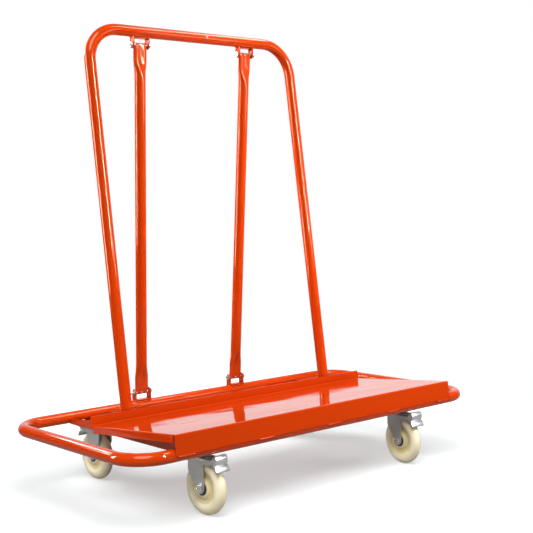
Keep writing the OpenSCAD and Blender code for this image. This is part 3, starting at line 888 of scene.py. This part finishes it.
@dataclass(frozen=True)
class Braces:
    """Two tubes with flattened ends, from the rear rail up to the top bar. Millimetres."""

    foot: Point = (166.5, 275.0, 202.0)
    head: Point = (180.5, 210.36, 1140.18)
    tube_r: float = 15.0
    flat_half: float = 20.5
    flat_r: float = 5.75
    flat_length: float = 38.0
    flat_rings: tuple[float, ...] = (-4.6, -2.6, 0.0, 12.0, 26.0)
    taper_length: float = 45.0
    taper_steps: int = 10
    tip_inset: float = 0.1
    tip_share: float = 0.05
    side_power: float = 0.8
    face_power: float = 0.45
    lobe_share: float = 0.38
    lobe_place: float = 0.55
    lobe_width: float = 0.28
    sides: int = 48
    smooth_angle: float = 50.0

    def _stations(self, length: float) -> list[float]:
        """Places of the rings along a brace.

        Args:
            length: Distance between its two bolts.

        Returns:
            Distances from the lower bolt.
        """
        step = self.taper_length / self.taper_steps
        near = [*self.flat_rings, *(self.flat_length + step * i for i in range(self.taper_steps + 1))]
        return near + [length / 2] + [length - s for s in near]

    def _shaped(self, point: Vector, length: float) -> Vector:
        """Press one point of the plain tube into the brace's form.

        Args:
            point: The point in metres, with the tube along Z from its lower bolt.
            length: Distance between the two bolts.

        Returns:
            Its new place, in metres.
        """
        if math.hypot(point.x, point.y) < MM:
            return point
        along = min(point.z, length * MM - point.z) / MM
        flat = 1.0 - ease((along - self.flat_length) / self.taper_length)
        turn = math.atan2(point.y, point.x)
        cosine, sine = math.cos(turn), math.sin(turn)
        across = abs(cosine) ** self.side_power
        aside = (across - self.lobe_place) / self.lobe_width
        lobe = 1.0 - self.lobe_share * (1.0 - math.exp(-(aside ** 2)))
        wide_x = self.flat_half * math.copysign(across, cosine)
        wide_y = self.flat_r * lobe * math.copysign(abs(sine) ** self.face_power, sine)
        if along < 0:
            wide_y *= math.sqrt(max(1.0 - (along / self.flat_r) ** 2, self.tip_share))
        round_x, round_y = self.tube_r * cosine, self.tube_r * sine
        x = round_x + (wide_x - round_x) * flat
        y = round_y + (wide_y - round_y) * flat
        return Vector((x * MM, y * MM, point.z))

    def build(self) -> None:
        """Make one brace, copy it for the other side, and put both in place."""
        run = Vector(self.head) - Vector(self.foot)
        length = run.length
        Bench.clear()
        tip = self.flat_r - self.tip_inset
        bpy.ops.mesh.primitive_cylinder_add(
            vertices=self.sides, radius=self.tube_r * MM, depth=(length + 2 * tip) * MM,
            location=(0, 0, length / 2 * MM), end_fill_type="NGON",
        )
        pattern = Bench.named("brace_pattern")
        Bench.settle()
        bpy.ops.object.mode_set(mode="EDIT")
        for station in self._stations(length):
            bpy.ops.mesh.select_all(action="SELECT")
            bpy.ops.mesh.bisect(plane_co=(0, 0, station * MM), plane_no=(0, 0, 1))
        bpy.ops.object.mode_set(mode="OBJECT")
        Bench.shape(pattern, lambda point: self._shaped(point, length))
        lean = Matrix.Rotation(math.atan2(-run.y, run.z), 4, "X")
        for name, side in SIDES:
            brace = Bench.copy(pattern, f"{name}_brace_tube")
            splay = Matrix.Rotation(side * math.asin(run.x / length), 4, "Y")
            Bench.place(brace, shift(side * self.foot[0], *self.foot[1:]) @ lean @ splay)
            Bench.smooth(brace, self.smooth_angle)
            Bench.dress(brace, Slot.PAINT, "cart", [f"{name}_brace"])
        Bench.drop(pattern)


@dataclass(frozen=True)
class Brackets:
    """Four bent brackets that hold the braces' ends. Millimetres."""

    tube_r: float = 15.2
    thickness: float = 3.0
    ear_half: float = 10.0
    inner: float = 22.5
    lower_pivot: float = 37.0
    upper_pivot: float = 35.0
    bar: Flat = (210.36, 1175.18)
    rail: Flat = (275.0, 165.0)
    seat_steps: int = 10
    ear_steps: int = 16
    edge_r: float = 0.7
    edge_faces: int = 3

    def _pattern(self, pivot: float) -> bpy.types.Object:
        """Make a bracket over a tube along X at the origin.

        Args:
            pivot: Distance from the tube's axis to the bolt.

        Returns:
            The bracket.
        """
        seat = math.degrees(math.acos(self.ear_half / self.tube_r))
        outline = arc((0.0, 0.0), self.tube_r, 180 - seat, seat, self.seat_steps)
        outline += arc((0.0, pivot), self.ear_half, 0, 180, self.ear_steps)
        outer = self.inner + self.thickness
        ears = [Bench.plate("ear", outline, side * self.inner, side * outer) for side in (-1, 1)]
        low = (-self.inner, -self.ear_half, self.tube_r)
        high = (self.inner, self.ear_half, self.tube_r + self.thickness)
        bracket = Bench.join("bracket_pattern", [Bench.block("base", low, high), *ears])
        Bench.soften(bracket, self.edge_r, self.edge_faces)
        return bracket

    def build(self, braces: Braces) -> None:
        """Make both kinds of bracket and put them in place.

        Args:
            braces: The braces that they hold.
        """
        rows = (
            ("lower", self.lower_pivot, braces.foot[0], self.rail, 0.0),
            ("upper", self.upper_pivot, braces.head[0], self.bar, math.pi),
        )
        for row, pivot, across, seat, flip in rows:
            pattern = self._pattern(pivot)
            for name, side in SIDES:
                bracket = Bench.copy(pattern, f"{name}_{row}_bracket_plate")
                Bench.place(bracket, shift(side * across, *seat) @ Matrix.Rotation(flip, 4, "X"))
                Bench.dress(bracket, Slot.PAINT, "cart", [f"{name}_{row}_bracket"])
            Bench.drop(pattern)


@dataclass(frozen=True)
class Fastener:
    """Bolt along X with a washer face, a chamfered nut and a threaded end. Millimetres."""

    shank_r: float = 4.0
    flats: float = 13.0
    head_h: float = 5.0
    nut_h: float = 6.5
    tail: float = 3.0
    pitch: float = 1.25
    root_share: float = 0.86
    thread_sunk: float = 1.0
    thread_clear: float = 0.4
    point: tuple[Flat, ...] = ((-0.6, 0.9), (0.0, 0.68))
    rim_share: float = 0.96
    rim_clear: float = 0.3
    washer_h: float = 0.45
    shoulder_h: float = 1.1
    chamfer_h: float = 1.6
    crown_inset: float = 0.2
    under: float = 1.0
    hex_steps: int = 48
    shank_steps: int = 32
    smooth_angle: float = 30.0

    def _hex(self, name: str, start: float, height: float, crown: int) -> bpy.types.Object:
        """Make a hexagonal block with a washer face and a turned crown.

        Args:
            name: Name of the new piece.
            start: Where its seat lies along X.
            height: Its height.
            crown: Direction of its crown, -1 or 1 along X.

        Returns:
            The block.
        """
        radius = self.flats / 2 / math.cos(math.radians(30))
        Bench.clear()
        bpy.ops.mesh.primitive_cylinder_add(
            vertices=6, radius=radius * MM, depth=height * MM, rotation=(0, math.pi / 2, 0),
            location=((start + crown * height / 2) * MM, 0, 0),
        )
        block = Bench.named(name)
        Bench.settle()
        top = height - self.crown_inset
        rim, clear = self.flats / 2 * self.rim_share, radius + self.rim_clear
        cone = [(-self.under, 0.0), (-self.under, rim), (0.0, rim), (self.washer_h, rim)]
        cone += [(self.shoulder_h, clear), (top - self.chamfer_h, clear), (top, rim), (top, 0.0)]
        tool = Bench.lathe("crown_tool", [(start + crown * x, r) for x, r in cone], self.hex_steps)
        Bench.cut(block, tool, Cut.KEEP_COMMON)
        return block

    def build(self, name: str, grip: float) -> bpy.types.Object:
        """Make a bolt whose head lies below x = 0, with its nut.

        Args:
            name: Name of the new piece.
            grip: Thickness of what it holds.

        Returns:
            The joined bolt and nut.
        """
        end = grip + self.nut_h + self.tail
        profile = [(0.0, 0.0), (0.0, self.shank_r), (grip, self.shank_r)]
        place = grip + self.nut_h - self.thread_sunk
        while place + self.pitch < end - self.thread_clear:
            profile += [(place, self.shank_r * self.root_share), (place + self.pitch / 2, self.shank_r)]
            place += self.pitch
        profile += [(end + step, self.shank_r * share) for step, share in self.point]
        shank = Bench.lathe("shank", [*profile, (end, 0.0)], self.shank_steps)
        head = self._hex("head", 0.0, self.head_h, -1)
        nut = self._hex("nut", grip, self.nut_h, 1)
        bolt = Bench.join(name, [shank, head, nut])
        bolt.data.materials.append(BRIGHT_FASTENER.material())
        Bench.smooth(bolt, self.smooth_angle)
        return bolt


def brace_fasteners(braces: Braces, brackets: Brackets) -> None:
    """Put a bolt through each bracket, with its nut towards the cart's end.

    Args:
        braces: The braces that they hold.
        brackets: The brackets that they pass.
    """
    reach = brackets.inner + brackets.thickness
    pattern = Fastener().build("brace_fastener_pattern", 2 * reach)
    copies = []
    for side in (-1, 1):
        turn = Matrix.Rotation(0.0 if side > 0 else math.pi, 4, "Z")
        for x, y, z in (braces.foot, braces.head):
            bolt = Bench.copy(pattern, "brace_fastener")
            Bench.place(bolt, shift(side * x, y, z) @ turn @ shift(-reach, 0, 0))
            copies.append(bolt)
    Bench.drop(pattern)
    Bench.dress(Bench.join("brace_fasteners", copies), Slot.ZINC, "cart", ["brace_bolts", "brace_nuts"])


@dataclass(frozen=True)
class Welds:
    """Rippled weld beads along the deck's front edge and round the brackets' feet. Millimetres."""

    ripple: float = 3.6
    ripple_rings: int = 4
    least_rings: int = 12
    swing: float = 0.1
    end_length: float = 1.5
    bead_sides: int = 12
    tube_r: float = 15.0
    stitch_length: float = 46.0
    stitch_r: float = 2.3
    stitch_seat: Flat = (-291.6, 164.4)
    stitches: tuple[float, ...] = (-434.0, -200.0, 22.0, 240.0, 434.0)
    foot_r: float = 1.9
    foot_reach: float = 42.0
    foot_gap: float = 0.3
    foot_depth: float = 2.6
    smooth_angle: float = 60.0

    def _bead(self, length: float, radius: float) -> bpy.types.Object:
        """Turn a straight bead along X.

        Args:
            length: Its length.
            radius: Its radius.

        Returns:
            The bead, at the origin.
        """
        count = max(int(length / self.ripple * self.ripple_rings), self.least_rings)
        profile = [(-length / 2, 0.0)]
        for share in (step / count for step in range(1, count)):
            inset = 1.0 - min(min(share, 1.0 - share) * length / radius / self.end_length, 1.0)
            wave = 1.0 + self.swing * math.cos(2 * math.pi * share * length / self.ripple)
            profile.append(((share - 0.5) * length, radius * wave * math.sqrt(1.0 - inset * inset)))
        profile.append((length / 2, 0.0))
        return Bench.lathe("weld_bead", profile, self.bead_sides)

    def _round(self, offset: float) -> bpy.types.Object:
        """Bend a bead over the top of a tube that lies along X.

        Args:
            offset: Its place along the tube.

        Returns:
            The bead, round the X axis.
        """
        bead = self._bead(math.radians(2 * self.foot_reach) * self.tube_r, self.foot_r)
        radius = self.tube_r * MM

        def wrapped(point: Vector) -> Vector:
            """Lay one point round the tube."""
            turn, reach = point.x / radius, radius + point.z
            return Vector((offset * MM - point.y, reach * math.sin(turn), reach * math.cos(turn)))

        Bench.shape(bead, wrapped)
        return bead

    def _foot(self, brackets: Brackets) -> list[bpy.types.Object]:
        """Beads round one bracket's foot.

        Args:
            brackets: The brackets.

        Returns:
            Beads outside both ears and along both edges of the base, round the X axis.
        """
        edge = brackets.inner + brackets.thickness + self.foot_r / 3
        beads = [self._round(side * edge) for side in (-1, 1)]
        depth, height = brackets.ear_half + self.foot_gap, self.tube_r - self.foot_depth
        for side in (-1, 1):
            bead = self._bead(2 * brackets.inner, self.foot_r)
            Bench.place(bead, shift(0.0, side * depth, height))
            beads.append(bead)
        return beads

    def build(self, braces: Braces, brackets: Brackets) -> None:
        """Lay all the beads and join them.

        Args:
            braces: The braces, which give the brackets' places.
            brackets: The brackets.
        """
        beads = []
        for across in self.stitches:
            bead = self._bead(self.stitch_length, self.stitch_r)
            Bench.place(bead, shift(across, *self.stitch_seat))
            beads.append(bead)
        rows = ((braces.foot[0], brackets.rail, 0.0), (braces.head[0], brackets.bar, math.pi))
        for across, seat, flip in rows:
            for side in (-1, 1):
                place = shift(side * across, *seat) @ Matrix.Rotation(flip, 4, "X")
                for bead in self._foot(brackets):
                    Bench.place(bead, place)
                    beads.append(bead)
        welds = Bench.join("weld_beads", beads)
        Bench.smooth(welds, self.smooth_angle)
        Bench.dress(welds, Slot.PAINT, "cart")


@dataclass(frozen=True)
class Caster:
    """Braked swivel caster, built with its king pin on the Z axis and its wheel towards +Y. Millimetres."""

    trail: float = 28.5
    wheel_r: float = 63.5
    wheel_steps: int = 96
    wheel_angle: float = 40.0
    tread_r: float = 15.0
    tread_steps: int = 36
    hub_half: float = 14.0
    hub_chamfer: float = 1.0
    bore_r: float = 8.06
    hub_r: float = 22.5
    recess_r: float = 38.5
    recess_half: float = 9.0
    recess_steps: int = 10
    recess_power: float = 0.8
    # How far the painted recess shade stays in from the wheel's side faces and from the recess's rim
    recess_shade_inset: Flat = (1.6, 2.0)
    fork_in: float = 17.0
    fork_out: float = 20.0
    fork_blank: Flat = (-40.0, 90.0)
    fork_low: float = 30.0
    fork_bends: Flat = (5.0, 2.0)
    fork_hollow: Flat = (-60.0, 120.0)
    fork_mouth: Flat = (100.0, 160.0)
    fork_tool: float = 50.0
    crown_z: float = 134.0
    crown_top: float = 137.0
    crown_r: float = 27.0
    crown_hole: float = 7.0
    crown_foot: tuple[Flat, ...] = ((0.0, -1.5), (1.0, -0.3))
    crown_rim: tuple[Flat, ...] = ((-0.8, 0.0), (0.0, -0.8))
    crown_steps: int = 64
    crown_over: float = 1.0
    leg_end_r: float = 12.5
    leg_steps: int = 16
    shoulder: Flat = (-12.5, 103.0)
    neck: tuple[Flat, ...] = ((0.0, -6.0), (1.0, -4.0), (3.0, -3.0))
    pin: Flat = (66.5, 130.5)
    ear_r: float = 6.5
    ear_turn: Flat = (-90, 60)
    ear_steps: int = 8
    edge_r: float = 0.6
    pedal_half: float = 16.6
    pedal_t: float = 2.0
    pedal_edge: float = 0.5
    pedal_hub_r: float = 6.0
    pedal_hub_turn: Flat = (100, 250)
    pedal_hub_steps: int = 10
    upper_half: float = 17.5
    lower_half: float = 20.5
    notch_row: int = 7
    notch_drop: float = 1.0
    strip_half: float = 1.0
    flap: tuple[Flat, ...] = (
        (9, 14.5), (13.5, 13.9), (16.6, 11.2), (18, 6), (18, 0), (16.8, -3.6), (14, -5.4),
        (13.8, -8.2), (16.2, -9.8), (18.6, -14.5), (21.5, -21), (21.3, -22.6),
    )
    cheek: tuple[Flat, ...] = (
        (9, 13.6), (13, 13), (15.8, 10.6), (17, 5.6), (17, -0.2), (15.8, -3.3), (13, -5),
        (12.8, -8.6), (15.4, -10.6), (17.6, -15), (20, -20.4), (15, -18),
    )
    axle_bolt: Fastener = Fastener(flats=17.0, head_h=6.0, nut_h=8.0, tail=2.0)

    def wheel(self) -> bpy.types.Object:
        """Turn the wheel round X at the origin.

        Returns:
            The wheel, with shade painted into its recesses as a darker, deeper yellow.
        """
        centre = self.wheel_r - self.tread_r
        dip = math.degrees(math.asin((centre - self.recess_r) / self.tread_r))
        rim = arc((0.0, centre), self.tread_r, -dip, 180 + dip, self.tread_steps)
        lip, end, face = rim[0][0], self.hub_half, self.hub_half - self.hub_chamfer
        half = [(end, self.bore_r), (end, self.hub_r - self.hub_chamfer), (face, self.hub_r)]
        for share in (step / self.recess_steps for step in range(1, self.recess_steps)):
            depth = math.sin(math.pi * share ** self.recess_power)
            edge = face + (lip - face) * share
            radius = self.hub_r + (self.recess_r - self.hub_r) * share
            half.append((edge + (self.recess_half - edge) * depth, radius))
        mirrored = [(-x, radius) for x, radius in reversed(half)]
        wheel = Bench.lathe("wheel_pattern", [mirrored[-1], *half, *rim, *mirrored], self.wheel_steps)
        Bench.soften(wheel, self.edge_r, angle=self.wheel_angle)
        for finish in (CREAM_NYLON, SHADED_RECESS_NYLON):
            wheel.data.materials.append(finish.material())
        # Painted shade: faces deep in the recesses take the darker colour
        deep, reach = self.hub_half - self.recess_shade_inset[0], self.recess_r - self.recess_shade_inset[1]
        for polygon in wheel.data.polygons:
            radius = math.hypot(polygon.center.y, polygon.center.z) / MM
            in_recess_shade = abs(polygon.center.x) / MM < deep and self.hub_r < radius < reach
            polygon.material_index = 1 if in_recess_shade else 0
        return wheel

    def _outline(self) -> list[Flat]:
        """Side outline of the fork with its ear.

        Returns:
            Pairs of Y and Z.
        """
        axle = (self.trail, self.wheel_r)
        dy, dz = self.shoulder[0] - axle[0], self.shoulder[1] - axle[1]
        touch = math.degrees(math.atan2(dz, dy) + math.acos(self.leg_end_r / math.hypot(dy, dz)))
        front, low = self.trail + self.leg_end_r, self.pin[1] - self.ear_r
        over = self.crown_top + self.crown_over
        outline = [(self.shoulder[0], over), self.shoulder]
        outline += arc(axle, self.leg_end_r, touch, 360, self.leg_steps)
        outline += [(front + y, low + z) for y, z in self.neck]
        outline += arc(self.pin, self.ear_r, *self.ear_turn, self.ear_steps)
        return [*outline, (self.pin[0], over)]

    def _crown(self) -> bpy.types.Object:
        """Turn the fork's round crown about the king pin.

        Returns:
            The crown, in place.
        """
        profile = [(self.crown_z, self.crown_hole)]
        for level, rounding in ((self.crown_z, self.crown_foot), (self.crown_top, self.crown_rim)):
            profile += [(level + rise, self.crown_r + step) for rise, step in rounding]
        profile += [(self.crown_top, self.crown_hole), profile[0]]
        crown = Bench.lathe("fork_crown", profile, self.crown_steps)
        Bench.place(crown, Matrix.Rotation(-math.pi / 2, 4, "Y"))
        return crown

    def fork(self) -> bpy.types.Object:
        """Press the fork from plate.

        Returns:
            The fork.
        """
        out, inn = self.fork_out, self.fork_in
        (back, ahead), (hollow_back, hollow_ahead) = self.fork_blank, self.fork_hollow
        fork = Bench.block("fork_pattern", (-out, back, self.fork_low), (out, ahead, self.crown_top))
        Bench.round_top(fork, self.fork_bends[0])
        side = Bench.plate("fork_side", self._outline(), -self.fork_tool, self.fork_tool)
        Bench.cut(fork, side, Cut.KEEP_COMMON)
        hollow = Bench.block("fork_inside", (-inn, hollow_back, 0.0), (inn, hollow_ahead, self.crown_z))
        Bench.round_top(hollow, self.fork_bends[1])
        Bench.cut(fork, hollow, Cut.TAKE_AWAY)
        front, (low, high) = self.trail + self.leg_end_r, self.fork_mouth
        mouth = Bench.block("fork_mouth", (-inn, front, low), (inn, hollow_ahead, high))
        Bench.cut(fork, mouth, Cut.TAKE_AWAY)
        Bench.cut(fork, self._crown(), Cut.ADD)
        Bench.soften(fork, self.edge_r)
        return fork

    def pedal(self) -> bpy.types.Object:
        """Bend the brake pedal with its two flaps and cheeks.

        Returns:
            The pedal, with its pin at the origin.
        """
        flap = Bench.ribbon("pedal_flap", self.flap, self.strip_half)
        notch = (self.flap[self.notch_row][1] - self.notch_drop) * MM

        def widened(point: Vector) -> Vector:
            """Give the flaps their widths."""
            half = self.lower_half if point.z < notch else self.upper_half
            return Vector((point.x * half / self.strip_half, point.y, point.z))

        Bench.shape(flap, widened)
        Bench.modify(flap, "SOLIDIFY", thickness=self.pedal_t * MM, offset=0.0, use_even_offset=True)
        hub = arc((0.0, 0.0), self.pedal_hub_r, *self.pedal_hub_turn, self.pedal_hub_steps)
        outline = [*self.cheek, *reversed(hub)]
        inner, outer = self.pedal_half - self.pedal_t, self.pedal_half
        cheeks = [Bench.plate("pedal_cheek", outline, side * inner, side * outer) for side in (-1, 1)]
        pedal = Bench.join("pedal_pattern", [flap, *cheeks])
        Bench.soften(pedal, self.pedal_edge)
        return pedal

    def build(self) -> None:
        """Make the patterns, copy them to all four casters, and delete the patterns."""
        bolt = self.axle_bolt.build("axle_pattern", 2 * self.fork_out)
        Bench.place(bolt, shift(-self.fork_out, 0, 0))
        axle, pin = shift(0, self.trail, self.wheel_r), shift(0, *self.pin)
        parts = (
            ("wheel", self.wheel(), axle, Slot.NYLON, "wheel"),
            ("fork", self.fork(), Matrix.Identity(4), Slot.ZINC, "swivel"),
            ("axle", bolt, axle, Slot.ZINC, "swivel"),
            ("pedal", self.pedal(), pin, Slot.BRIGHT, "brake"),
        )
        joints = {joint["name"]: joint for joint in frame["joints"]}
        for caster in ("front_left", "front_right", "rear_left", "rear_right"):
            x, y, _ = joints[f"{caster}_swivel"]["pos_m"]
            across = joints[f"{caster}_roll"]["axis"]
            turn = Matrix.Rotation(math.atan2(across[1], across[0]), 4, "Z")
            seat = Matrix.Translation((x, y, 0)) @ turn
            for part, pattern, place, slot, body in parts:
                copy = Bench.copy(pattern, f"{caster}_{part}_shape")
                Bench.place(copy, seat @ place)
                Bench.dress(copy, slot, f"{body}_{caster}", [f"{caster}_{part}"])
        for part in parts:
            Bench.drop(part[1])


def dress_nodes() -> None:
    """Give every CAD node the finish of its slot."""
    slots = {part["node"]: Slot(part["material_slot"]) for part in frame["record"]["subparts"]}
    for name, node in frame["nodes"].items():
        material = NODE_FINISHES.get(name, FINISHES[slots[name]]).material()
        if not node.material_slots:
            node.data.materials.append(material)
        for holder in node.material_slots:
            holder.material = material


def main() -> None:
    """Build the cart's looks in order, and report each piece."""
    logging.basicConfig(level=logging.INFO, format="%(name)s: %(message)s")
    Studio().build()
    dress_nodes()
    braces, brackets = Braces(), Brackets()
    braces.build()
    brackets.build(braces)
    brace_fasteners(braces, brackets)
    Welds().build(braces, brackets)
    Caster().build()


if __name__ == "__main__":
    main()
